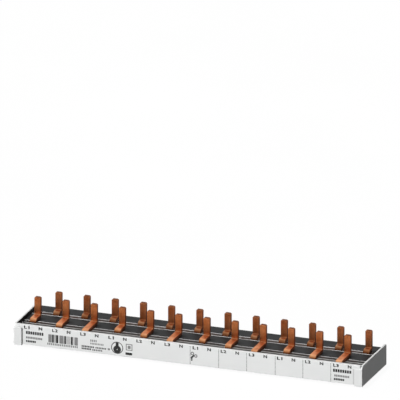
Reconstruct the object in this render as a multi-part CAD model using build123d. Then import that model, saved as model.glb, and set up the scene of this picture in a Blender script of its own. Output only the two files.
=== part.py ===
"""Comb busbar for a row of modular breakers: three phases and a neutral, with end caps.

Sizes are in millimetres. X runs along the busbar from the middle of its length, the
printed front faces -Y and the pins point along +Z. The row of phase pins stands at Y = 0,
and Z = 0 is the surface that the end caps stand on. The levels and rows of the housing,
the decks and the caps all follow from the copper.
"""
from build123d import *
import os

# Modules along the busbar
module_count = 12
module_pitch = 17.8
phase_count = 3
end_land = 1.8

# Copper strip, bars and fingers
strip_thickness = 2.2
bar_height = 7.2
bar_end_inset = 2.0
finger_rise = 1.55
root_radius = 0.8
bend_inner_radius = 0.4
pin_width = 4.0
pin_length = 11.0
tip_side_chamfer = 0.7
tip_face_chamfer = 0.4

# Rows across the busbar, between middle planes
slot_pitch = 4.0
phase_bar_setback = 8.4
neutral_row = 12.0
neutral_bar_setback = 4.1

# Housing
wall_thickness = 1.5
floor_thickness = 1.5
rib_thickness = 0.7
rib_foot_height = 1.5
lip_depth = 2.4
lip_thickness = 1.0
lip_rise = 2.15
lip_edge_round = 0.3
rear_margin = 8.75
housing_corner_radius = 0.5

# Insulating decks
deck_wall = 1.0
deck_web = 0.8
deck_ledge = 1.0

# End caps
cap_plate = 1.4
cap_skirt = 0.5
cap_reach = 5.0
cap_top_proud = 0.1
cap_chamfer = 2.1
cap_back_radius = 1.0
cap_inner_round = 0.6
cap_rim_round = 0.3
plug_length = 6.0
plug_rib = 0.9
plug_lead_in = 0.4

# Clearances
bar_side_gap = 0.05
lip_bar_gap = 0.85
tab_seat_gap = 0.05
deck_side_gap = 0.1
ledge_gap = 0.1
cap_fit = 0.05
cap_end_gap = 0.1
plug_gap = 0.15

# Lengths along the busbar
modules_length = module_count * module_pitch
housing_length = modules_length + 2 * end_land
bar_length = housing_length - 2 * bar_end_inset
overall_length = housing_length + 2 * (cap_end_gap + cap_plate)

# Levels, from the surface upwards
housing_base = cap_skirt + cap_fit
floor_top = housing_base + floor_thickness
bar_top = floor_top + bar_height
tab_under = bar_top + finger_rise
tab_top = tab_under + strip_thickness
pin_top = tab_top + pin_length
deck_top = tab_under - tab_seat_gap
rear_wall_top = deck_top - deck_ledge - ledge_gap
housing_top = deck_top + lip_rise
cap_top = housing_top + cap_top_proud
chamfer_foot = cap_top - cap_chamfer

# Middle planes of the bars, nearest phase first, and of the ribs beside them
phase_bars = [-phase_bar_setback - slot_pitch * phase for phase in range(phase_count)]
neutral_bar = neutral_row - neutral_bar_setback
phase_ribs = [bar + slot_pitch / 2 for bar in phase_bars]
neutral_ribs = [neutral_bar - slot_pitch / 2, neutral_bar + slot_pitch / 2]

# Front and back of each piece
lip_inner = phase_bars[-1] - strip_thickness / 2 - lip_bar_gap
housing_front = lip_inner - lip_depth
housing_back = neutral_row + rear_margin
wall_inner_front = housing_front + wall_thickness
wall_inner_back = housing_back - wall_thickness
cap_front = housing_front - cap_fit - cap_skirt
cap_back = housing_back + cap_fit + cap_skirt
deck_clearance = rib_thickness / 2 + deck_side_gap
middle_deck_sides = (phase_ribs[0] + deck_clearance, neutral_ribs[0] - deck_clearance)
rear_deck_sides = (neutral_ribs[1] + deck_clearance, wall_inner_back - deck_side_gap)


def phase_pin_x(module):
    """X of the phase pin of a module, a quarter of the way along it."""
    return -modules_length / 2 + (module + 0.25) * module_pitch


def neutral_pin_x(module):
    """X of the neutral pin of a module, three quarters of the way along it."""
    return -modules_length / 2 + (module + 0.75) * module_pitch


def beam(front, back, low, high, start=-housing_length / 2, end=housing_length / 2):
    """A square-cornered piece along X, given by its six sides."""
    middle = Pos((start + end) / 2, (front + back) / 2, (low + high) / 2)
    return middle * Box(end - start, back - front, high - low)


def corners_at(section, places):
    """The corners of a section that lie at the given places, each (y, z)."""
    return [
        corner
        for corner in section.vertices()
        if any(abs(corner.X - y) + abs(corner.Y - z) < 1e-6 for y, z in places)
    ]


def finger(bar_middle, pin_row):
    """One finger of a comb: up from the bar, back over the ribs and up into the pin."""
    bar_front = bar_middle - strip_thickness / 2
    bar_back = bar_middle + strip_thickness / 2
    pin_front = pin_row - strip_thickness / 2
    pin_back = pin_row + strip_thickness / 2
    outer_bends = [(bar_front, tab_top), (pin_back, tab_under)]
    inner_bends = [(pin_front, tab_top), (bar_back, tab_under)]
    with BuildPart() as made:
        with BuildSketch(Plane.YZ) as section:
            with BuildLine():
                Polyline(
                    (bar_front, floor_top),
                    outer_bends[0],
                    inner_bends[0],
                    (pin_front, pin_top),
                    (pin_back, pin_top),
                    outer_bends[1],
                    inner_bends[1],
                    (bar_back, floor_top),
                    close=True,
                )
            make_face()
            fillet(corners_at(section, outer_bends), bend_inner_radius + strip_thickness)
            fillet(corners_at(section, inner_bends), bend_inner_radius)
        extrude(amount=pin_width / 2, both=True)
        tip = made.faces().sort_by(Axis.Z)[-1]
        chamfer(tip.edges().filter_by(Axis.Y), tip_side_chamfer)
        tip = made.faces().sort_by(Axis.Z)[-1]
        chamfer(tip.edges().filter_by(Axis.X), tip_face_chamfer)
    return made.part


def comb(bar_middle, pin_row, pin_places):
    """A copper comb: one bar on edge, and a finger for each pin, with rounded roots."""
    bar_front = bar_middle - strip_thickness / 2
    bar_back = bar_middle + strip_thickness / 2
    bar = beam(bar_front, bar_back, floor_top, bar_top, -bar_length / 2, bar_length / 2)
    pattern = finger(bar_middle, pin_row)
    whole = bar + [Pos(x, 0, 0) * pattern for x in pin_places]
    roots = whole.edges().filter_by(Axis.Y).filter_by_position(Axis.Z, bar_top, bar_top)
    return fillet(roots, root_radius)


def housing():
    """The extruded channel: floor, rear wall, ribs and the front wall with its lip."""
    with BuildPart() as made:
        with BuildSketch(Plane.YZ):
            with BuildLine():
                Polyline(
                    (housing_front, housing_base),
                    (housing_front, housing_top),
                    (lip_inner, housing_top),
                    (lip_inner, housing_top - lip_thickness),
                    (wall_inner_front, housing_top - lip_thickness),
                    (wall_inner_front, floor_top),
                    (wall_inner_back, floor_top),
                    (wall_inner_back, rear_wall_top),
                    (housing_back, rear_wall_top),
                    (housing_back, housing_base),
                    close=True,
                )
            make_face()
            with Locations(*[(rib, floor_top) for rib in phase_ribs + neutral_ribs]):
                Rectangle(rib_thickness, deck_top - floor_top, align=(Align.CENTER, Align.MIN))
            foot = (slot_pitch - strip_thickness) / 2 - bar_side_gap
            for bar in phase_bars + [neutral_bar]:
                with Locations((bar - slot_pitch / 2, floor_top)):
                    Rectangle(foot, rib_foot_height, align=Align.MIN)
                with Locations((bar + slot_pitch / 2, floor_top)):
                    Rectangle(foot, rib_foot_height, align=(Align.MAX, Align.MIN))
        extrude(amount=housing_length / 2, both=True)
        lower_corners = made.edges().filter_by(Axis.X).group_by(Axis.Z)[0]
        fillet(lower_corners, housing_corner_radius)
        lip_corners = made.edges().filter_by(Axis.X).group_by(Axis.Z)[-1]
        fillet(lip_corners, lip_edge_round)
    return made.part


def chambers(front, back):
    """The two chambers of a hollow deck, each (front, back, low, high)."""
    web_middle = (front + back) / 2
    low = floor_top + deck_wall
    high = deck_top - deck_wall
    return [
        (front + deck_wall, web_middle - deck_web / 2, low, high),
        (web_middle + deck_web / 2, back - deck_wall, low, high),
    ]


def deck(front, back):
    """A hollow insulating strip that stands on the floor between two walls."""
    strip = beam(front, back, floor_top, deck_top)
    for chamber in chambers(front, back):
        strip -= beam(*chamber)
    return strip


def rear_deck():
    """The rear strip, whose ledge covers the top of the rear wall."""
    ledge = beam(rear_deck_sides[1], housing_back, deck_top - deck_ledge, deck_top)
    return deck(*rear_deck_sides) + ledge


def plug(front, back, low, high):
    """A cross of two blades that slides into one chamber of a deck."""
    width = back - front - 2 * plug_gap
    height = high - low - 2 * plug_gap
    upright = blade(Box(plug_length, plug_rib, height), Axis.Y)
    level = blade(Box(plug_length, width, plug_rib), Axis.Z)
    start = -housing_length / 2 - cap_end_gap
    place = Pos(start + plug_length / 2, (front + back) / 2, (low + high) / 2)
    return place * (upright + level)


def blade(plate, lead_axis):
    """A blade of a plug, with a lead-in at the two corners of its free end."""
    free_end = plate.faces().sort_by(Axis.X)[-1]
    return chamfer(free_end.edges().filter_by(lead_axis), plug_lead_in)


def cap_plate_part():
    """The plate of the left cap, chamfered at its upper front corner."""
    with BuildPart() as made:
        with BuildSketch(Plane.YZ.offset(-overall_length / 2)) as outline:
            with BuildLine():
                Polyline(
                    (cap_front, 0),
                    (cap_front, chamfer_foot),
                    (cap_front + cap_chamfer, cap_top),
                    (cap_back, cap_top),
                    (cap_back, 0),
                    close=True,
                )
            make_face()
            fillet(corners_at(outline, [(cap_back, cap_top)]), cap_back_radius)
        extrude(amount=cap_plate)
        top_edges = made.edges().filter_by(Axis.Y).group_by(Axis.Z)[-1]
        fillet(top_edges.sort_by(Axis.X)[-1], cap_inner_round)
        fillet(made.faces().sort_by(Axis.X)[0].edges(), cap_rim_round)
    return made.part


def front_skirt(start, end):
    """The skirt before the front wall, with a top that continues the plate's chamfer."""
    skirt_back = cap_front + cap_skirt
    with BuildPart() as made:
        with BuildSketch(Plane.YZ.offset(start)):
            with BuildLine():
                Polyline(
                    (cap_front, 0),
                    (cap_front, chamfer_foot),
                    (skirt_back, chamfer_foot + cap_skirt),
                    (skirt_back, 0),
                    close=True,
                )
            make_face()
        extrude(amount=end - start)
    return made.part


def end_cap():
    """The left cap: its plate, a thin skirt round the housing and plugs for the decks."""
    root = -overall_length / 2 + cap_plate / 2
    rim = -overall_length / 2 + cap_reach
    skirt = [
        front_skirt(root, rim),
        beam(cap_front, cap_back, 0, cap_skirt, root, rim),
        beam(cap_back - cap_skirt, cap_back, 0, rear_wall_top, root, rim),
    ]
    plugs = [
        plug(*chamber)
        for sides in (middle_deck_sides, rear_deck_sides)
        for chamber in chambers(*sides)
    ]
    return cap_plate_part() + skirt + plugs


def pieces():
    """Every piece of the busbar by name."""
    left_cap = end_cap()
    neutral_pins = [neutral_pin_x(module) for module in range(module_count)]
    made = {
        "housing": housing(),
        "middle_deck": deck(*middle_deck_sides),
        "rear_deck": rear_deck(),
        "neutral_comb": comb(neutral_bar, neutral_row, neutral_pins),
        "end_cap_left": left_cap,
        "end_cap_right": mirror(left_cap, about=Plane.YZ),
    }
    for phase, bar_middle in enumerate(phase_bars):
        pins = [phase_pin_x(module) for module in range(phase, module_count, phase_count)]
        made[f"phase_comb_l{phase + 1}"] = comb(bar_middle, 0, pins)
    return made


os.makedirs("parts", exist_ok=True)
for name, shape in pieces().items():
    export_step(shape, f"parts/{name}.step")
    print(f"{name}: {shape.volume:.1f} mm3")
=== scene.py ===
"""Looks of the comb busbar: finishes, softened edges, generic print, floor, light and camera.

Every length in this file is in millimetres, in the frame of the CAD, until unit() turns it
into metres for Blender. X runs along the busbar, its printed front faces -Y, the pins point
along +Z and Z = 0 is what the end caps stand on.
"""
import logging
import math
from dataclasses import dataclass
from enum import Enum, IntEnum

import bpy
from mathutils import Matrix, Vector


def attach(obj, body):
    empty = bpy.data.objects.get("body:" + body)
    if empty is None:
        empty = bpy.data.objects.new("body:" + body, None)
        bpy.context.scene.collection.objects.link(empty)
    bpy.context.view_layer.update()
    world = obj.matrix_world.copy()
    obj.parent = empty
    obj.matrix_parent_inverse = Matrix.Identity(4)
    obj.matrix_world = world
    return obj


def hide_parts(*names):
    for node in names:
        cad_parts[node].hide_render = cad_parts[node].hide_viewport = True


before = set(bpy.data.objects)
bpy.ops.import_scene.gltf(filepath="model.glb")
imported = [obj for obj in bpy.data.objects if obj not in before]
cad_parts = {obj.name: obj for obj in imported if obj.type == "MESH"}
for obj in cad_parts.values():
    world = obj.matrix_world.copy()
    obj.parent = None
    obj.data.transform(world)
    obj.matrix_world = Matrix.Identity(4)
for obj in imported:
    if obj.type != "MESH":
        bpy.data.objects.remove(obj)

LOG = logging.getLogger("comb_busbar")

Colour = tuple[float, float, float]
Place = tuple[float, float, float]
Spot = tuple[float, float]
Span = tuple[float, float]
Node = bpy.types.Object
Socket = bpy.types.NodeSocket

# One millimetre in Blender's metres
MILLIMETRE = 0.001
# Corners nearer to each other than this, in millimetres, become one
WELD_WITHIN = 0.001
WHITE: Colour = (1.0, 1.0, 1.0)


def unit(length: float) -> float:
    """Return a length given in millimetres in Blender's metres."""
    return length * MILLIMETRE


class Slot(Enum):
    """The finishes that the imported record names."""

    LIGHT = "light_plastic"
    DARK = "dark_plastic"
    COPPER = "copper"


class PlasticSurface(Enum):
    """How a plastic piece was made, which its surface shows."""

    EXTRUDED = "extruded"
    MOULDED = "moulded"


class InkTone(Enum):
    """How densely a printed mark covers the plastic."""

    BLACK = 0.022
    DARK = 0.07
    GREY = 0.20
    PALE = 0.42
    FAINT = 0.56


class Blend(Enum):
    """How two colours are mixed, by Blender's names."""

    MIX = "MIX"
    MULTIPLY = "MULTIPLY"


class MixSocket(IntEnum):
    """Where a Mix node keeps what it mixes."""

    SHARE = 0
    FIRST_NUMBER = 2
    SECOND_NUMBER = 3
    FIRST_COLOUR = 6
    SECOND_COLOUR = 7


class MixResult(IntEnum):
    """Where a Mix node keeps what comes out."""

    NUMBER = 0
    COLOUR = 2


@dataclass(frozen=True)
class Grain:
    """A noise pattern.

    Attributes:
        across: How many grains it has per metre along X, Y and Z.
        detail: How many finer layers it has.
    """

    across: Place
    detail: float


class ShaderBench:
    """A material being wired up, with its Principled shader and its Object coordinates."""

    def __init__(self, name: str) -> None:
        """Start a material.

        Args:
            name: The material's name.
        """
        self.material = bpy.data.materials.new(name)
        self.material.use_nodes = True
        self.tree = self.material.node_tree
        self.shader = self.tree.nodes["Principled BSDF"]
        self.coordinates = self.tree.nodes.new("ShaderNodeTexCoord").outputs["Object"]

    def sockets(self) -> dict[str, Socket]:
        """Return the shader's sockets by their names in lower case with underscores."""
        return {socket.name.lower().replace(" ", "_"): socket for socket in self.shader.inputs}

    def fixed(self, **values: float) -> None:
        """Set constants on the shader's own sockets.

        Args:
            **values: A value for each socket, by the names that sockets() gives.
        """
        for name, value in values.items():
            self.sockets()[name].default_value = value

    def noise(self, grain: Grain) -> Socket:
        """Return a noise whose grains have their own size along each axis.

        Args:
            grain: The size of its grains and its finer layers.
        """
        mapping = self.tree.nodes.new("ShaderNodeMapping")
        mapping.inputs["Scale"].default_value = grain.across
        self.tree.links.new(self.coordinates, mapping.inputs["Vector"])
        texture = self.tree.nodes.new("ShaderNodeTexNoise")
        texture.inputs["Scale"].default_value = 1.0
        texture.inputs["Detail"].default_value = grain.detail
        self.tree.links.new(mapping.outputs["Vector"], texture.inputs["Vector"])
        return texture.outputs["Fac"]

    def ramp(self, factor: Socket, *stops: tuple[float, Colour]) -> Socket:
        """Return colours read along a factor.

        Args:
            factor: What is read.
            *stops: Each place along it, and the colour there.
        """
        node = self.tree.nodes.new("ShaderNodeValToRGB")
        band = node.color_ramp
        while len(band.elements) < len(stops):
            band.elements.new(0.5)  # its place is set next
        for element, (place, colour) in zip(band.elements, stops):
            element.position = place
            element.color = (*colour, 1.0)
        self.tree.links.new(factor, node.inputs["Fac"])
        return node.outputs["Color"]

    def grey_ramp(self, factor: Socket, *stops: tuple[float, float]) -> Socket:
        """Return greys read along a factor, each stop a place and a level."""
        return self.ramp(factor, *[(place, (level,) * 3) for place, level in stops])

    def blended(self, first: Socket, second: Socket, share: float,
                way: Blend = Blend.MIX) -> Socket:
        """Return two colours mixed.

        Args:
            first: The colour below.
            second: The colour above.
            share: The share of the second one.
            way: How they mix.
        """
        node = self.tree.nodes.new("ShaderNodeMix")
        node.data_type = "RGBA"
        node.blend_type = way.value
        node.inputs[MixSocket.SHARE].default_value = share
        self.tree.links.new(first, node.inputs[MixSocket.FIRST_COLOUR])
        self.tree.links.new(second, node.inputs[MixSocket.SECOND_COLOUR])
        return node.outputs[MixResult.COLOUR]

    def height_along(self, low: float, high: float) -> Socket:
        """Return a factor that runs from 0 at one height of the piece to 1 at another.

        Args:
            low: The height for 0, in millimetres.
            high: The height for 1, in millimetres.
        """
        split = self.tree.nodes.new("ShaderNodeSeparateXYZ")
        self.tree.links.new(self.coordinates, split.inputs["Vector"])
        span = self.tree.nodes.new("ShaderNodeMapRange")
        span.inputs["From Min"].default_value = unit(low)
        span.inputs["From Max"].default_value = unit(high)
        self.tree.links.new(split.outputs["Z"], span.inputs["Value"])
        return span.outputs["Result"]

    def bumped(self, height: Socket, strength: float, depth: float,
               under: Socket | None = None) -> Socket:
        """Return a normal roughened by a height pattern.

        Args:
            height: The pattern.
            strength: How much of it shows.
            depth: How deep it is, in millimetres.
            under: A normal that it is laid over.
        """
        node = self.tree.nodes.new("ShaderNodeBump")
        node.inputs["Strength"].default_value = strength
        node.inputs["Distance"].default_value = unit(depth)
        self.tree.links.new(height, node.inputs["Height"])
        if under is not None:
            self.tree.links.new(under, node.inputs["Normal"])
        return node.outputs["Normal"]

    def wire(self, **sources: Socket) -> bpy.types.Material:
        """Join patterns to the shader's sockets.

        Args:
            **sources: A source for each socket, by the names that sockets() gives.

        Returns:
            The finished material.
        """
        for name, source in sources.items():
            self.tree.links.new(source, self.sockets()[name])
        return self.material


@dataclass(frozen=True)
class LightPlastic:
    """The light grey plastic of the channel and the end caps."""

    surface: PlasticSurface
    pale: Colour = (0.790, 0.798, 0.792)
    dull: Colour = (0.755, 0.764, 0.760)
    cloud: Grain = Grain((55, 90, 90), 2.0)
    draw_lines: Grain = Grain((14, 2600, 2600), 4.0)
    draw_fuzz: Grain = Grain((400, 5200, 5200), 2.0)
    draw_depth: float = 0.012
    spark_pits: Grain = Grain((5200, 5200, 5200), 2.0)
    spark_waves: Grain = Grain((900, 900, 900), 3.0)
    spark_depth: float = 0.016

    def material(self) -> bpy.types.Material:
        """Return the material: draw lines when extruded, a fine spark grain when moulded."""
        extruded = self.surface is PlasticSurface.EXTRUDED
        bench = ShaderBench(f"light_plastic_{self.surface.value}")
        bench.fixed(metallic=0.0, ior=1.46, specular_ior_level=0.28)
        cloud = bench.noise(self.cloud)
        grain = bench.noise(self.draw_lines if extruded else self.spark_pits)
        fine = bench.noise(self.draw_fuzz if extruded else self.spark_waves)
        depth = self.draw_depth if extruded else self.spark_depth
        tone = bench.blended(bench.ramp(cloud, (0.3, self.dull), (0.7, self.pale)),
                             bench.ramp(grain, (0.35, self.dull), (0.65, self.pale)),
                             share=0.35)
        relief = bench.bumped(grain, strength=0.35, depth=depth)
        relief = bench.bumped(fine, strength=0.25, depth=depth, under=relief)
        gloss = bench.grey_ramp(grain, (0.3, 0.44), (0.7, 0.56))
        return bench.wire(base_color=tone, roughness=gloss, normal=relief)


@dataclass(frozen=True)
class InnerPlastic:
    """The plastic inside: the channel's ribs, floor and inner walls; a near-black copy of it is
    painted shade on the caps' inner sides and plugs.
    """

    name: str = "inner_plastic_extruded"
    pale: Colour = (0.800, 0.805, 0.803)
    dull: Colour = (0.680, 0.684, 0.682)
    streak: Grain = Grain((12, 2200, 2200), 4.0)
    dust: Grain = Grain((1500, 1900, 1900), 3.0)

    def material(self) -> bpy.types.Material:
        """Return the material."""
        bench = ShaderBench(self.name)
        bench.fixed(metallic=0.0, ior=1.46, specular_ior_level=0.12)
        streak = bench.noise(self.streak)
        dust = bench.noise(self.dust)
        tone = bench.blended(bench.ramp(streak, (0.32, self.dull), (0.68, self.pale)),
                             bench.ramp(dust, (0.35, self.dull), (0.65, self.pale)), share=0.4)
        gloss = bench.grey_ramp(streak, (0.3, 0.48), (0.7, 0.62))
        relief = bench.bumped(streak, strength=0.35, depth=0.014)
        relief = bench.bumped(dust, strength=0.2, depth=0.012, under=relief)
        return bench.wire(base_color=tone, roughness=gloss, normal=relief)


@dataclass(frozen=True)
class DarkPlastic:
    """The dark grey plastic of the insulating strips, with streaks along the extrusion."""

    deep: Colour = (0.014, 0.015, 0.016)
    worn: Colour = (0.030, 0.031, 0.032)
    streak: Grain = Grain((10, 1500, 1500), 5.0)
    cloud: Grain = Grain((70, 140, 140), 3.0)
    dust: Grain = Grain((2400, 2600, 2600), 2.0)

    def material(self) -> bpy.types.Material:
        """Return the material."""
        bench = ShaderBench("dark_plastic_extruded")
        bench.fixed(metallic=0.0, ior=1.45, specular_ior_level=0.07)
        streak = bench.noise(self.streak)
        cloud = bench.noise(self.cloud)
        dust = bench.noise(self.dust)
        tone = bench.blended(bench.ramp(streak, (0.35, self.deep), (0.68, self.worn)),
                             bench.ramp(cloud, (0.3, self.deep), (0.7, self.worn)), share=0.5)
        gloss = bench.grey_ramp(streak, (0.3, 0.42), (0.7, 0.60))
        relief = bench.bumped(streak, strength=0.4, depth=0.018)
        relief = bench.bumped(dust, strength=0.2, depth=0.010, under=relief)
        return bench.wire(base_color=tone, roughness=gloss, normal=relief)


@dataclass(frozen=True)
class HeightShade:
    """How dark a copper piece is at each height, as painted shade: dark in the slots, at the tabs'
    bends, in the crease at the pins' feet, low on the pins and at the cut tips.

    Attributes:
        stops: Heights in millimetres, each with the share of the tone that is left there.
    """

    stops: tuple[tuple[float, float], ...]

    def over(self, bench: ShaderBench, tone: Socket) -> Socket:
        """Return a tone darkened by height.

        Args:
            bench: The material that is wired up.
            tone: The tone.
        """
        low = self.stops[0][0]
        high = self.stops[-1][0]
        band = [((height - low) / (high - low), level) for height, level in self.stops]
        shade = bench.grey_ramp(bench.height_along(low, high), *band)
        return bench.blended(tone, shade, share=1.0, way=Blend.MULTIPLY)


@dataclass(frozen=True)
class RolledCopper:
    """The rolled faces of the copper strip: fine rolling lines and a warm, uneven tarnish.

    Attributes:
        name: The material's name.
        shade: The painted shade by height.
        deep_tint: The redder tint of the bars, the tabs' lower bends and the pins, which leaves
            the tabs' tops paler as a painted highlight.
        fresh: The bright copper.
        tarnished: The copper where it is dull.
        tint_heights: The heights between which the tint fades out and in again.
        pale_band: The part of that span without a tint, just under the tabs' tops: a painted
            highlight.
        lines: The rolling lines.
        rubbed: The scratches that plugging leaves along the pins.
        cloud: The spread of the tarnish.
    """

    name: str
    shade: HeightShade
    deep_tint: Colour
    fresh: Colour = (0.940, 0.465, 0.232)
    tarnished: Colour = (0.680, 0.275, 0.113)
    tint_heights: Span = (11.6, 13.7)
    pale_band: Span = (0.40, 0.62)
    lines: Grain = Grain((60, 3400, 60), 4.0)
    rubbed: Grain = Grain((2600, 2600, 120), 3.0)
    cloud: Grain = Grain((210, 210, 210), 3.0)

    def material(self) -> bpy.types.Material:
        """Return the material, with painted shade and a painted highlight by height, and paler
        where plugging rubs it.
        """
        bench = ShaderBench(self.name)
        bench.fixed(metallic=1.0)
        lines = bench.noise(self.lines)
        rubbed = bench.noise(self.rubbed)
        cloud = bench.noise(self.cloud)
        tone = bench.ramp(cloud, (0.32, self.tarnished), (0.62, self.fresh))
        # Painted shade by height.
        tone = self.shade.over(bench, tone)
        pale_from, pale_to = self.pale_band
        # Painted highlight: the tint leaves a pale band along the tabs' tops.
        tint = bench.ramp(bench.height_along(*self.tint_heights), (0.0, self.deep_tint),
                          (pale_from, WHITE), (pale_to, WHITE), (1.0, self.deep_tint))
        tone = bench.blended(tone, tint, share=1.0, way=Blend.MULTIPLY)
        scratches = bench.grey_ramp(rubbed, (0.35, 0.75), (0.65, 1.0))
        tone = bench.blended(tone, scratches, share=0.25, way=Blend.MULTIPLY)
        gloss = bench.grey_ramp(cloud, (0.3, 0.45), (0.7, 0.35))
        relief = bench.bumped(lines, strength=0.3, depth=0.010)
        relief = bench.bumped(rubbed, strength=0.25, depth=0.012, under=relief)
        return bench.wire(base_color=tone, roughness=gloss, normal=relief)


@dataclass(frozen=True)
class ShearedCopper:
    """The sheared edges of the strip: duller, browner and grained across the thickness."""

    shade: HeightShade
    fresh: Colour = (0.560, 0.210, 0.100)
    tarnished: Colour = (0.330, 0.105, 0.045)
    grain: Grain = Grain((2800, 260, 2800), 4.0)
    cloud: Grain = Grain((330, 330, 330), 3.0)

    def material(self) -> bpy.types.Material:
        """Return the material."""
        bench = ShaderBench("copper_sheared")
        bench.fixed(metallic=1.0)
        grain = bench.noise(self.grain)
        cloud = bench.noise(self.cloud)
        tone = bench.blended(bench.ramp(cloud, (0.35, self.tarnished), (0.65, self.fresh)),
                             bench.ramp(grain, (0.35, self.tarnished), (0.65, self.fresh)),
                             share=0.5)
        # Painted shade by height.
        tone = self.shade.over(bench, tone)
        gloss = bench.grey_ramp(grain, (0.3, 0.62), (0.7, 0.48))
        relief = bench.bumped(grain, strength=0.5, depth=0.020)
        return bench.wire(base_color=tone, roughness=gloss, normal=relief)


@dataclass(frozen=True)
class PrintInk:
    """The ink of the printed marks, a little uneven as a pad print is."""

    tone: InkTone
    cover: Grain = Grain((2200, 2200, 2200), 3.0)
    thin_share: float = 1.35
    thin_extra: float = 0.02
    palest: float = 0.7

    def material(self) -> bpy.types.Material:
        """Return the material for this tone, paler where the ink lies thin."""
        bench = ShaderBench(f"print_ink_{self.tone.name.lower()}")
        bench.fixed(metallic=0.0, specular_ior_level=0.25)
        full = self.tone.value
        thin = min(full * self.thin_share + self.thin_extra, self.palest)
        cover = bench.noise(self.cover)
        tone = bench.grey_ramp(cover, (0.35, full), (0.75, thin))
        gloss = bench.grey_ramp(cover, (0.3, 0.42), (0.7, 0.58))
        relief = bench.bumped(cover, strength=0.2, depth=0.006)
        return bench.wire(base_color=tone, roughness=gloss, normal=relief)


def lone(piece: Node) -> None:
    """Make one object active and the only one selected."""
    for other in bpy.context.selected_objects:
        other.select_set(False)
    piece.select_set(True)
    bpy.context.view_layer.objects.active = piece


def edit(piece: Node) -> None:
    """Open one object in edit mode with all of its mesh selected."""
    lone(piece)
    bpy.ops.object.mode_set(mode="EDIT")
    bpy.ops.mesh.select_all(action="SELECT")


def close_edit() -> None:
    """Go back from edit mode to object mode."""
    bpy.ops.object.mode_set(mode="OBJECT")


def settle(piece: Node) -> None:
    """Move an object's place, turn and scale into its mesh."""
    lone(piece)
    bpy.ops.object.transform_apply(location=True, rotation=True, scale=True)


def dressed(piece: Node, *finishes: bpy.types.Material) -> None:
    """Give a piece its materials, in the order of its material indices."""
    piece.data.materials.clear()
    for finish in finishes:
        piece.data.materials.append(finish)


def overcoat(node: Node, finish: bpy.types.Material) -> None:
    """Give a CAD node a material through its object's own slot, its mesh left alone."""
    for slot in node.material_slots:
        slot.link = "OBJECT"
        slot.material = finish


@dataclass(frozen=True)
class SoftEdges:
    """How a copy of a CAD node gets its sharp edges rounded.

    Attributes:
        width: How much of each side a rounding takes, in millimetres.
        segments: How many faces a rounding has across.
        sharper_than: The angle in degrees from which an edge is rounded.
        flat_within: The angle in degrees within which neighbours become one face.
        smooth_within: The angle in degrees up to which faces are shaded as one.
    """

    width: float
    segments: int = 2
    sharper_than: float = 38.0
    flat_within: float = 0.6
    smooth_within: float = 40.0

    def copy_of(self, node_name: str, name: str) -> Node:
        """Make the rounded copy.

        Args:
            node_name: The CAD node.
            name: The new piece's name.

        Returns:
            The piece, one closed mesh with smooth normals.
        """
        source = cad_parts[node_name]
        piece = bpy.data.objects.new(name, source.data.copy())
        bpy.context.scene.collection.objects.link(piece)
        edit(piece)
        bpy.ops.mesh.remove_doubles(threshold=unit(WELD_WITHIN))
        bpy.ops.mesh.dissolve_limited(angle_limit=math.radians(self.flat_within))
        close_edit()
        bpy.ops.mesh.customdata_custom_splitnormals_clear()
        rounding = piece.modifiers.new("soft_edges", "BEVEL")
        rounding.limit_method = "ANGLE"
        rounding.angle_limit = math.radians(self.sharper_than)
        rounding.width = unit(self.width)
        rounding.segments = self.segments
        bpy.ops.object.modifier_apply(modifier=rounding.name)
        bpy.ops.object.shade_smooth_by_angle(angle=math.radians(self.smooth_within))
        flats = piece.modifiers.new("flat_faces", "WEIGHTED_NORMAL")
        flats.mode = "FACE_AREA"
        flats.weight = 100
        flats.keep_sharp = True
        bpy.ops.object.modifier_apply(modifier=flats.name)
        return piece


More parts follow.
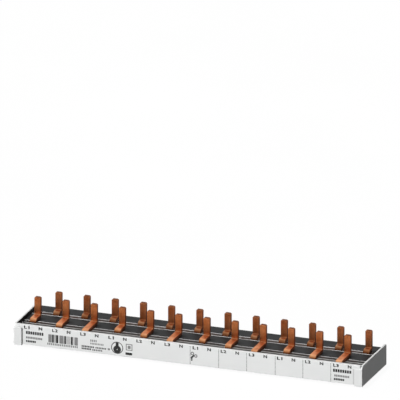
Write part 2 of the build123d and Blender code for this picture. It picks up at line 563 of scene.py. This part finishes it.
@dataclass
class CopperCombs:
    """The four copper combs, each a stamped and bent strip.

    Attributes:
        names: Their CAD nodes.
        edges: How their edges are rounded.
        square_on: The share of a normal from which a face counts as facing that way.
        sheared_below: The height up to which a level face is the bar's sheared edge.
        tip_start: The height from which a level face is a pin's sheared tip.
        phase_shade: The painted shade and highlight of the phase combs at each height.
        phase_tint: The tint of their bars and pins, which leaves the tabs' tops paler as a painted
            highlight.
        neutral_shade: The painted shade of the neutral comb at each height, with darker tabs than
            the phase combs'.
        neutral_tint: The tint of its bar and pins, which leaves its tabs' tops paler as a painted
            highlight.
        sheared_shade: The painted shade of the sheared edges at each height.
    """

    names: tuple[str, ...] = ("phase_comb_l1", "phase_comb_l2", "phase_comb_l3", "neutral_comb")
    edges: SoftEdges = SoftEdges(0.16)
    square_on: float = 0.5
    sheared_below: float = 9.9
    tip_start: float = 23.2
    # Painted shade by height: dark bars, tab bends, pin creases, lower pins and tips; the tabs'
    # tops stay brightest, a painted highlight.
    phase_shade: HeightShade = HeightShade(((9.6, 0.14), (11.4, 0.22), (12.0, 0.50), (13.0, 1.0),
                                            (13.1, 0.52), (13.8, 0.46), (15.0, 0.42), (17.0, 0.65),
                                            (19.0, 0.86), (21.0, 1.0), (23.2, 1.0), (23.8, 0.80)))
    phase_tint: Colour = (1.0, 0.73, 0.56)
    # Painted shade for the neutral comb: its tabs darker than the phase combs', its pins less dark
    # low down.
    neutral_shade: HeightShade = HeightShade(((9.6, 0.14), (11.4, 0.20), (12.2, 0.34),
                                              (13.0, 0.57), (13.1, 0.44), (15.0, 0.77),
                                              (17.0, 0.84), (19.0, 0.90), (21.0, 0.97),
                                              (23.2, 0.80), (23.8, 0.58)))
    neutral_tint: Colour = (1.0, 0.78, 0.66)
    # Painted shade on the sheared edges: darkest low down beside the tabs and on the lower pins,
    # and at the tips.
    sheared_shade: HeightShade = HeightShade(((9.6, 0.12), (12.0, 0.56), (16.0, 0.40),
                                              (19.0, 0.76), (22.0, 0.92), (23.4, 0.80),
                                              (23.8, 0.50)))

    def build(self) -> list[Node]:
        """Build the combs with rolled faces and sheared edges told apart.

        Returns:
            The four pieces.
        """
        phase = RolledCopper("copper_rolled_phase", self.phase_shade, self.phase_tint).material()
        neutral = RolledCopper("copper_rolled_neutral", self.neutral_shade,
                               self.neutral_tint).material()
        sheared = ShearedCopper(self.sheared_shade).material()
        made = []
        for name in self.names:
            rolled = neutral if name == "neutral_comb" else phase
            overcoat(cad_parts[name], rolled)
            piece = self.edges.copy_of(name, f"{name}_softened")
            dressed(piece, rolled, sheared)
            for face in piece.data.polygons:
                face.material_index = int(self.is_sheared(face))
            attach(piece, "root")
            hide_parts(name)
            made.append(piece)
        return made

    def is_sheared(self, face: bpy.types.MeshPolygon) -> bool:
        """Tell whether a face is on the strip's sheared edge.

        Args:
            face: A face of a comb.
        """
        height = face.center.z
        sideways = abs(face.normal.x) > self.square_on
        level = abs(face.normal.z) > self.square_on
        at_an_end = height < unit(self.sheared_below) or height > unit(self.tip_start)
        return sideways or (level and at_an_end)


@dataclass
class PlasticParts:
    """The channel, its two insulating strips and the two end caps.

    Attributes:
        channel_edges: How the channel's edges are rounded.
        deck_edges: How the insulating strips' edges are rounded.
        cap_edges: How the caps' edges are rounded.
        cap_inside_shade: The near-black plastic of the caps' inner sides and inner rims, painted
            shade.
        inner_front: The inner side of the front wall.
        inner_back: The inner side of the rear wall.
        inner_low: The top of the channel's floor.
        inner_high: The underside of the front wall's lip.
        cap_inner: The inner side of a cap's plate, from the busbar's middle.
        cap_round_end: Where the round of its inner rim ends, from the busbar's middle.
        leaning: The share of a normal from which a face of that round looks inwards.
        square_on: The share of a normal from which a face is a cut end of the channel.
        spare: How far such a line is moved, so that a face that lies on it counts as meant.
    """

    channel_edges: SoftEdges = SoftEdges(0.12)
    deck_edges: SoftEdges = SoftEdges(0.20)
    cap_edges: SoftEdges = SoftEdges(0.10)
    # Painted shade: near-black on the caps' faces that look into the channel.
    cap_inside_shade: InnerPlastic = InnerPlastic("inner_plastic_plug", pale=(0.020, 0.021, 0.021),
                                      dull=(0.012, 0.013, 0.013))
    inner_front: float = -19.25
    inner_back: float = 19.25
    inner_low: float = 2.05
    inner_high: float = 11.9
    cap_inner: float = 108.7
    cap_round_end: float = 109.3
    leaning: float = 0.45
    square_on: float = 0.5
    spare: float = 0.02

    def build(self) -> list[Node]:
        """Build the plastic pieces.

        Returns:
            The five pieces.
        """
        extruded = LightPlastic(PlasticSurface.EXTRUDED).material()
        moulded = LightPlastic(PlasticSurface.MOULDED).material()
        dark = DarkPlastic().material()
        channel = self.piece("housing", self.channel_edges, extruded, Slot.LIGHT)
        channel.data.materials.append(InnerPlastic().material())
        for face in channel.data.polygons:
            face.material_index = int(self.is_inside(face))
        made = [channel]
        for name in ("middle_deck", "rear_deck"):
            made.append(self.piece(name, self.deck_edges, dark, Slot.DARK))
        # The caps' inner sides and inner rims are painted near-black, as shade.
        cap_inside_shade_finish = self.cap_inside_shade.material()
        for name in ("end_cap_left", "end_cap_right"):
            cap = self.piece(name, self.cap_edges, moulded, Slot.LIGHT)
            cap.data.materials.append(cap_inside_shade_finish)
            for face in cap.data.polygons:
                face.material_index = int(self.is_plug(face))
            made.append(cap)
        return made

    def is_plug(self, face: bpy.types.MeshPolygon) -> bool:
        """Tell whether a face of an end cap looks into the channel, so that it gets the painted
        shade.

        Args:
            face: A face of an end cap.
        """
        from_middle = abs(face.center.x)
        inwards = -face.normal.x * math.copysign(1.0, face.center.x)
        on_plate = from_middle < unit(self.cap_inner + self.spare)
        on_round = from_middle < unit(self.cap_round_end) and inwards > self.leaning
        above_floor = face.center.z > unit(self.inner_low - self.spare)
        return self.is_between_walls(face) and (on_plate or on_round) and above_floor

    def is_inside(self, face: bpy.types.MeshPolygon) -> bool:
        """Tell whether a face of the channel is on its ribs, its floor or a wall's inner side.

        Args:
            face: A face of the channel.
        """
        low = unit(self.inner_low - self.spare)
        high = unit(self.inner_high - self.spare)
        cut_end = abs(face.normal.x) >= self.square_on
        return self.is_between_walls(face) and low < face.center.z < high and not cut_end

    def is_between_walls(self, face: bpy.types.MeshPolygon) -> bool:
        """Tell whether a face is between the channel's front and rear walls.

        Args:
            face: A face of the channel or of an end cap.
        """
        front = unit(self.inner_front - self.spare)
        back = unit(self.inner_back + self.spare)
        return front < face.center.y < back

    def piece(self, name: str, edges: SoftEdges, finish: bpy.types.Material,
              slot: Slot) -> Node:
        """Build one plastic piece as a rounded copy of its CAD node.

        Args:
            name: The CAD node.
            edges: How its edges are rounded.
            finish: Its material.
            slot: The record's name for that finish; not used.

        Returns:
            The piece.
        """
        overcoat(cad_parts[name], finish)
        made = edges.copy_of(name, f"{name}_softened")
        dressed(made, finish)
        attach(made, "root")
        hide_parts(name)
        return made


@dataclass(frozen=True)
class Row:
    """A row of plain printed blocks.

    Attributes:
        name: The piece's name.
        left: Where it starts along X, in millimetres.
        right: Where it ends.
        low: The height of its lower side.
        high: The height of its upper side.
        tone: Its ink.
        blocks: How many blocks it has.
        gap: How far they are apart.
    """

    name: str
    left: float
    right: float
    low: float
    high: float
    tone: InkTone
    blocks: int = 1
    gap: float = 0.3


@dataclass
class FrontPrint:
    """The generic marks printed on the flat front wall, and two painted shadow lines at the caps'
    skirts.

    Attributes:
        plane: The wall's front face.
        proud: How far the ink stands out of it.
        sunk: How far the ink reaches into it.
        corner_share: The round of a block's corners, as a share of its smaller side.
        corner_segments: How many edges such a round has.
        module_count: How many modules are marked.
        phase_count: How many phases take turns.
        pitch: From one module's marks to the next one's.
        phase_start: The middle of the first phase mark.
        neutral_start: The middle of the first neutral mark.
        phase_width: How wide a phase mark is.
        neutral_width: How wide a neutral mark is.
        letter_low: The foot of the letters.
        letter_high: The top of the letters.
        letter_spacing: How far apart the letters of a mark are, against the font's own.
        letter_weight: How much bolder they are than the font's own.
        letter_steps: How finely their curves are cut up.
        stripe_heights: The lower and upper ends of the upright stripes.
        cut_places: Where the cut lines stand.
        cut_foot: The middle of a cut line's lowest dash.
        dash: The width and height of a dash.
        dash_count: How many dashes a cut line has.
        dash_step: From one dash to the next.
        round_place: The middle of the round sign.
        square_place: The middle of the square sign.
    """

    plane: float = -20.75
    proud: float = 0.02
    sunk: float = 0.01
    corner_share: float = 0.18
    corner_segments: int = 3
    module_count: int = 12
    phase_count: int = 3
    pitch: float = 17.75
    phase_start: float = -101.96
    neutral_start: float = -93.29
    phase_width: float = 3.5
    neutral_width: float = 2.3
    letter_low: float = 10.65
    letter_high: float = 12.60
    letter_spacing: float = 1.2
    letter_weight: float = 0.045
    letter_steps: int = 4
    stripe_heights: Span = (3.9, 9.0)
    cut_places: tuple[float, ...] = (1.25, 19.2, 36.9, 54.95, 72.4, 90.0)
    cut_foot: float = 1.3
    dash: Spot = (0.46, 0.52)
    dash_count: int = 14
    dash_step: float = 0.84
    round_place: Spot = (-44.87, 5.7)
    square_place: Spot = (-37.3, 6.85)

    def __post_init__(self) -> None:
        """Mix the inks."""
        self.inks = {tone: PrintInk(tone).material() for tone in InkTone}

    def build(self) -> list[Node]:
        """Build every mark.

        Returns:
            The pieces of print.
        """
        made = [self.row(row) for row in self.rows()]
        made += self.letters()
        made += self.cut_lines()
        made += self.round_sign()
        made += self.square_sign()
        made += self.cutter_sign()
        return made

    def rows(self) -> list[Row]:
        """Return the rows of plain blocks that stand for lines of small print, and the two painted
        shadow lines.
        """
        stripes = [
            (-88.35, -86.26, InkTone.GREY), (-86.11, -84.76, InkTone.DARK),
            (-84.46, -83.76, InkTone.GREY), (-83.52, -82.07, InkTone.BLACK),
            (-81.37, -78.68, InkTone.GREY), (-78.38, -77.08, InkTone.DARK),
            (-76.88, -74.39, InkTone.PALE), (-74.09, -72.9, InkTone.BLACK),
            (-72.5, -71.8, InkTone.PALE), (-71.7, -69.7, InkTone.GREY),
        ]
        made = [
            Row("left_title_row", -102.46, -91.49, 7.4, 9.3, InkTone.BLACK, 8, 0.3),
            Row("left_thin_row", -102.46, -92.24, 4.6, 5.9, InkTone.GREY, 10, 0.20),
            Row("left_foot_row", -102.46, -96.23, 2.3, 3.6, InkTone.BLACK, 6, 0.2),
            Row("stripe_foot_row", -89.0, -69.8, 2.3, 3.6, InkTone.GREY, 17, 0.4),
            Row("small_row_a", -61.83, -57.84, 7.5, 8.9, InkTone.GREY, 4, 0.4),
            Row("small_row_b", -61.83, -53.55, 5.8, 6.9, InkTone.GREY, 9, 0.35),
            Row("small_row_c", -67.31, -59.53, 3.6, 4.65, InkTone.BLACK, 8, 0.26),
            Row("small_row_d", -67.31, -61.33, 2.15, 3.2, InkTone.BLACK, 6, 0.26),
            Row("small_row_e", -58.54, -51.85, 3.5, 4.6, InkTone.DARK, 7, 0.35),
            Row("small_row_f", -60.53, -54.35, 2.0, 3.0, InkTone.DARK, 6, 0.35),
            Row("small_row_g", -50.86, -49.36, 3.5, 4.7, InkTone.GREY),
            Row("square_foot_bar", -39.64, -35.4, 1.95, 3.5, InkTone.BLACK),
            Row("right_title_row", 91.49, 102.96, 7.4, 9.3, InkTone.BLACK, 8, 0.3),
            Row("right_thin_row", 92.24, 101.71, 4.5, 5.8, InkTone.GREY, 9, 0.22),
            Row("right_foot_row", 91.99, 98.47, 2.25, 3.55, InkTone.BLACK, 6, 0.2),
            # Painted shadow: thin ink strips where the caps' skirts meet the wall, dark at the
            # left cap and faint at the right.
            Row("seam_line_left", -104.95, -104.50, 0.75, 10.5, InkTone.GREY),
            Row("seam_line_right", 104.05, 104.78, 0.75, 10.5, InkTone.FAINT),
        ]
        for number, (left, right, tone) in enumerate(stripes, 1):
            made.append(Row(f"upright_stripe_{number}", left, right, *self.stripe_heights, tone))
        return made

    def row(self, row: Row) -> Node:
        """Build a row: one block modelled with rounded corners, and copied along it.

        Args:
            row: The row.

        Returns:
            The piece.
        """
        width = (row.right - row.left - row.gap * (row.blocks - 1)) / row.blocks
        centre = (row.left + width / 2, (row.low + row.high) / 2)
        piece = self.block(row.name, centre, (width, row.high - row.low))
        if row.blocks > 1:
            self.repeat(piece, row.blocks, (width + row.gap, 0.0, 0.0))
        return self.finished(piece, row.tone)

    def block(self, name: str, centre: Spot, size: Spot, turn: float = 0.0) -> Node:
        """Build a thin block of ink with rounded corners, closed and just proud of the wall.

        Args:
            name: The piece's name.
            centre: Its middle, along X and Z.
            size: Its width and height.
            turn: Its turn on the wall, in degrees.

        Returns:
            The piece.
        """
        bpy.ops.mesh.primitive_plane_add(size=1.0)
        piece = bpy.context.active_object
        piece.name = name
        piece.scale = (unit(size[0]), unit(size[1]), 1.0)
        settle(piece)
        edit(piece)
        bpy.ops.mesh.bevel(offset=unit(min(size) * self.corner_share),
                           segments=self.corner_segments, affect="VERTICES")
        close_edit()
        self.stood_on_wall(piece, centre, turn)
        return piece

    def stood_on_wall(self, piece: Node, centre: Spot, turn: float = 0.0) -> None:
        """Stand a flat drawing on the wall, facing out, and give it its thickness.

        Args:
            piece: A flat mesh in the XY plane.
            centre: Where its origin goes, along X and Z.
            turn: Its turn on the wall, in degrees.
        """
        upright = Matrix.Rotation(math.radians(90), 4, "X")
        turned = Matrix.Rotation(math.radians(turn), 4, "Z")
        place = Vector((unit(centre[0]), unit(self.plane + self.sunk), unit(centre[1])))
        piece.matrix_world = Matrix.Translation(place) @ upright @ turned
        settle(piece)
        edit(piece)
        depth = unit(self.proud + self.sunk)
        bpy.ops.mesh.extrude_region_move(TRANSFORM_OT_translate={"value": (0.0, -depth, 0.0)})
        bpy.ops.mesh.select_all(action="SELECT")
        bpy.ops.mesh.normals_make_consistent(inside=False)
        close_edit()

    def repeat(self, piece: Node, count: int, step: Place) -> None:
        """Copy a block along the wall.

        Args:
            piece: The block.
            count: How many there are in the end.
            step: From one to the next, in millimetres.
        """
        lone(piece)
        array = piece.modifiers.new("repeat", "ARRAY")
        array.use_relative_offset = False
        array.use_constant_offset = True
        array.constant_offset_displace = [unit(part) for part in step]
        array.count = count
        bpy.ops.object.modifier_apply(modifier=array.name)

    def finished(self, piece: Node, tone: InkTone) -> Node:
        """Ink a mark and let it ride on the busbar."""
        dressed(piece, self.inks[tone])
        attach(piece, "root")
        return piece

    def letters(self) -> list[Node]:
        """Build the pole letters along the wall's top: three phases in turn, and the neutral.

        Returns:
            One piece for each pole mark.
        """
        made = []
        for module in range(self.module_count):
            phase = f"L{module % self.phase_count + 1}"
            shift = module * self.pitch
            made.append(self.letter(f"pole_mark_{phase}_{module + 1}", phase,
                                    self.phase_start + shift, self.phase_width))
            made.append(self.letter(f"pole_mark_N_{module + 1}", "N",
                                    self.neutral_start + shift, self.neutral_width))
        return made

    def letter(self, name: str, text: str, middle: float, width: float) -> Node:
        """Build one pole mark.

        Args:
            name: The piece's name.
            text: What it reads.
            middle: Its middle along X.
            width: Its width.

        Returns:
            The piece.
        """
        bpy.ops.object.text_add()
        piece = bpy.context.active_object
        piece.name = name
        piece.data.body = text
        piece.data.space_character = self.letter_spacing
        piece.data.offset = self.letter_weight
        piece.data.resolution_u = self.letter_steps
        lone(piece)
        bpy.ops.object.convert(target="MESH")
        piece = bpy.context.active_object
        spots = [vertex.co for vertex in piece.data.vertices]
        lows = [min(spot[axis] for spot in spots) for axis in (0, 1)]
        highs = [max(spot[axis] for spot in spots) for axis in (0, 1)]
        tall = self.letter_high - self.letter_low
        scale = (unit(width) / (highs[0] - lows[0]), unit(tall) / (highs[1] - lows[1]), 1.0)
        middles = [(low + high) / 2 for low, high in zip(lows, highs)]
        fit = Matrix.Diagonal((*scale, 1.0)) @ Matrix.Translation((-middles[0], -middles[1], 0.0))
        piece.matrix_world = fit
        settle(piece)
        edit(piece)
        bpy.ops.mesh.remove_doubles(threshold=unit(WELD_WITHIN))
        close_edit()
        self.stood_on_wall(piece, (middle, (self.letter_low + self.letter_high) / 2))
        return self.finished(piece, InkTone.BLACK)

    def cut_lines(self) -> list[Node]:
        """Build the dashed lines where the busbar may be cut to length.

        Returns:
            One piece for each line.
        """
        made = []
        for number, place in enumerate(self.cut_places, 1):
            line = self.block(f"cut_line_{number}", (place, self.cut_foot), self.dash)
            self.repeat(line, self.dash_count, (0.0, 0.0, self.dash_step))
            made.append(self.finished(line, InkTone.GREY))
        return made

    def ring(self, name: str, centre: Spot, tone: InkTone, radius: float, line: float,
             sides: int, turn: float = 0.0) -> Node:
        """Build a flat ring.

        Args:
            name: The piece's name.
            centre: Its middle, along X and Z.
            tone: Its ink.
            radius: Its outer radius.
            line: How wide its line is.
            sides: How many sides it has.
            turn: Its turn on the wall, in degrees.

        Returns:
            The piece.
        """
        bpy.ops.mesh.primitive_circle_add(vertices=sides, radius=unit(radius), fill_type="NGON")
        piece = bpy.context.active_object
        piece.name = name
        edit(piece)
        bpy.ops.mesh.inset(thickness=unit(line), depth=0.0)
        bpy.ops.mesh.delete(type="FACE")
        close_edit()
        self.stood_on_wall(piece, centre, turn)
        return self.finished(piece, tone)

    def round_sign(self) -> list[Node]:
        """Build the plain round sign: a ring round a dot with a stem.

        Returns:
            Its pieces.
        """
        along, height = self.round_place
        stem = self.block("round_sign_stem", (along, height + 2.1), size=(1.8, 2.6))
        return [
            self.ring("round_sign_ring", self.round_place, InkTone.DARK, radius=3.8, line=0.50,
                      sides=64),
            self.ring("round_sign_dot", (along, height - 1.05), InkTone.BLACK, radius=2.42,
                      line=2.15, sides=40),
            self.finished(stem, InkTone.BLACK),
        ]

    def square_sign(self) -> list[Node]:
        """Build the plain square sign: a frame round a block.

        Returns:
            Its pieces.
        """
        middle = self.block("square_sign_block", self.square_place, size=(1.8, 2.0))
        border = self.ring("square_sign_frame", self.square_place, InkTone.GREY, radius=2.9,
                           line=0.5, sides=4, turn=45.0)
        return [self.finished(middle, InkTone.GREY), border]

    def cutter_sign(self) -> list[Node]:
        """Build the plain cutter sign on the first cut line: two loops and two blades.

        Returns:
            Its pieces.
        """
        blades = [
            self.block("cutter_blade_a", (2.3, 4.75), size=(0.8, 3.0), turn=-3.0),
            self.block("cutter_blade_b", (2.75, 5.9), size=(0.95, 3.0), turn=-43.0),
        ]
        loops = [
            self.ring("cutter_loop_a", (2.6, 7.9), InkTone.GREY, radius=1.15, line=0.65,
                      sides=24),
            self.ring("cutter_loop_b", (4.75, 6.6), InkTone.GREY, radius=1.10, line=0.65,
                      sides=24),
        ]
        return loops + [self.finished(blade, InkTone.BLACK) for blade in blades]


@dataclass(frozen=True)
class Sun:
    """A wide, even light.

    Attributes:
        name: Its name.
        towards: Where it is, seen from the object.
        strength: Its strength.
        spread: How wide it is, in degrees.
        glints: Whether it shows in glossy surfaces.
    """

    name: str
    towards: Place
    strength: float
    spread: float
    glints: bool


@dataclass
class Studio:
    """The floor, the lights, the surroundings and the camera.

    Attributes:
        azimuth: The camera's angle round the object, in degrees.
        elevation: The camera's angle above the floor, in degrees.
        aim_right: How far to the right of the origin it aims.
        aim_above: How far above the origin it aims, upright in the picture.
        view_width: How much it sees from side to side.
        distance: How far from its aim it stands.
        sees: How near and how far from itself it shows things.
        suns: The lights.
        floor_size: The length of the floor's sides.
        floor_glow: How brightly the floor shines by itself.
        floor_cloud: The faint unevenness of its tone.
        horizon: The band over which the surroundings turn over, as heights on a unit ball.
        lights_below: How much the surroundings light matt surfaces from below.
        lights_above: How much they light them from above.
        shines_below: How bright they are in reflections from below.
        shines_above: How bright they are in reflections from above.
    """

    azimuth: float = 19.90
    elevation: float = 19.88
    aim_right: float = -0.056
    aim_above: float = 91.672
    view_width: float = 237.56
    distance: float = 1000.0
    sees: Span = (10.0, 10000.0)
    suns: tuple[Sun, ...] = (
        Sun("key_light", (-0.62, -0.78, 0.03), 3.85, 8.0, glints=False),
        Sun("sheen_light", (-0.62, -0.78, 0.03), 0.5, 14.0, glints=True),
        Sun("top_light", (-0.25, 0.15, 0.93), 2.79, 10.0, glints=False),
    )
    floor_size: float = 6000.0
    floor_glow: float = 0.95
    floor_cloud: Grain = Grain((9, 9, 9), 2.0)
    horizon: Span = (-0.04, 0.10)
    lights_below: float = 0.28
    lights_above: float = 0.015
    shines_below: float = 0.30
    shines_above: float = 0.98

    def build(self) -> None:
        """Set the whole studio up."""
        self.floor()
        self.surroundings()
        for sun in self.suns:
            self.hang(sun)
        self.camera()
        bpy.context.scene.view_settings.view_transform = "Standard"

    def floor(self) -> None:
        """Lay a plain pale floor that lights nothing from below."""
        bpy.ops.mesh.primitive_plane_add(size=unit(self.floor_size))
        floor = bpy.context.active_object
        floor.name = "studio_floor"
        edit(floor)
        bpy.ops.mesh.subdivide(number_cuts=3)
        close_edit()
        bench = ShaderBench("pale_floor")
        bench.fixed(roughness=0.9, specular_ior_level=0.0, emission_strength=self.floor_glow)
        bench.shader.inputs["Emission Color"].default_value = (*WHITE, 1.0)
        cloud = bench.noise(self.floor_cloud)
        tone = bench.grey_ramp(cloud, (0.3, 0.048), (0.7, 0.056))
        dressed(floor, bench.wire(base_color=tone))
        floor.visible_diffuse = False
        floor.visible_glossy = False

    def surroundings(self) -> None:
        """Set the surroundings: white to look at, dim as a light and bright in reflections."""
        world = bpy.data.worlds.new("studio_surroundings")
        bpy.context.scene.world = world
        world.use_nodes = True
        nodes = world.node_tree.nodes
        links = world.node_tree.links
        compass = nodes.new("ShaderNodeTexCoord")
        split = nodes.new("ShaderNodeSeparateXYZ")
        links.new(compass.outputs["Generated"], split.inputs["Vector"])
        rays = nodes.new("ShaderNodeLightPath")
        height = split.outputs["Z"]
        matt = self.by_height(world.node_tree, height, self.lights_below, self.lights_above)
        shine = self.by_height(world.node_tree, height, self.shines_below, self.shines_above)
        lit = nodes.new("ShaderNodeMix")
        links.new(rays.outputs["Is Glossy Ray"], lit.inputs[MixSocket.SHARE])
        links.new(matt, lit.inputs[MixSocket.FIRST_NUMBER])
        links.new(shine, lit.inputs[MixSocket.SECOND_NUMBER])
        seen = nodes.new("ShaderNodeMix")
        seen.inputs[MixSocket.SECOND_NUMBER].default_value = 1.0
        links.new(rays.outputs["Is Camera Ray"], seen.inputs[MixSocket.SHARE])
        links.new(lit.outputs[MixResult.NUMBER], seen.inputs[MixSocket.FIRST_NUMBER])
        background = nodes["Background"]
        background.inputs["Color"].default_value = (*WHITE, 1.0)
        links.new(seen.outputs[MixResult.NUMBER], background.inputs["Strength"])

    def by_height(self, tree: bpy.types.NodeTree, height: Socket, below: float,
                  above: float) -> Socket:
        """Return a brightness that turns over at the horizon.

        Args:
            tree: The surroundings' nodes and links.
            height: How far above the horizon a direction points.
            below: The brightness below the horizon.
            above: The brightness above it.
        """
        span = tree.nodes.new("ShaderNodeMapRange")
        span.inputs["From Min"].default_value = self.horizon[0]
        span.inputs["From Max"].default_value = self.horizon[1]
        span.inputs["To Min"].default_value = below
        span.inputs["To Max"].default_value = above
        tree.links.new(height, span.inputs["Value"])
        return span.outputs["Result"]

    def hang(self, sun: Sun) -> None:
        """Hang a light.

        Args:
            sun: The light.
        """
        lamp = bpy.data.lights.new(sun.name, "SUN")
        lamp.energy = sun.strength
        lamp.angle = math.radians(sun.spread)
        piece = bpy.data.objects.new(sun.name, lamp)
        bpy.context.scene.collection.objects.link(piece)
        piece.rotation_mode = "QUATERNION"
        piece.rotation_quaternion = Vector(sun.towards).to_track_quat("Z", "Y")
        piece.visible_glossy = sun.glints

    def camera(self) -> None:
        """Place the camera at the photo's angle, looking without perspective."""
        lens = bpy.data.cameras.new("photo_camera")
        lens.type = "ORTHO"
        lens.ortho_scale = unit(self.view_width)
        lens.clip_start, lens.clip_end = (unit(reach) for reach in self.sees)
        camera = bpy.data.objects.new("photo_camera", lens)
        bpy.context.scene.collection.objects.link(camera)
        turn = math.radians(self.azimuth)
        rise = math.radians(self.elevation)
        back = Vector((math.sin(turn) * math.cos(rise), -math.cos(turn) * math.cos(rise),
                       math.sin(rise)))
        right = Vector((math.cos(turn), math.sin(turn), 0.0))
        above = back.cross(right)
        aim = right * unit(self.aim_right) + above * unit(self.aim_above)
        camera.location = aim + back * unit(self.distance)
        camera.rotation_mode = "QUATERNION"
        camera.rotation_quaternion = back.to_track_quat("Z", "Y")
        bpy.context.scene.camera = camera


def main() -> None:
    """Build the looks round the CAD frame."""
    logging.basicConfig(level=logging.INFO, format="%(name)s: %(message)s")
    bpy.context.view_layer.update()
    for builder in (CopperCombs(), PlasticParts(), FrontPrint()):
        for piece in builder.build():
            LOG.info("%s: %d faces", piece.name, len(piece.data.polygons))
    Studio().build()


if __name__ == "__main__":
    main()
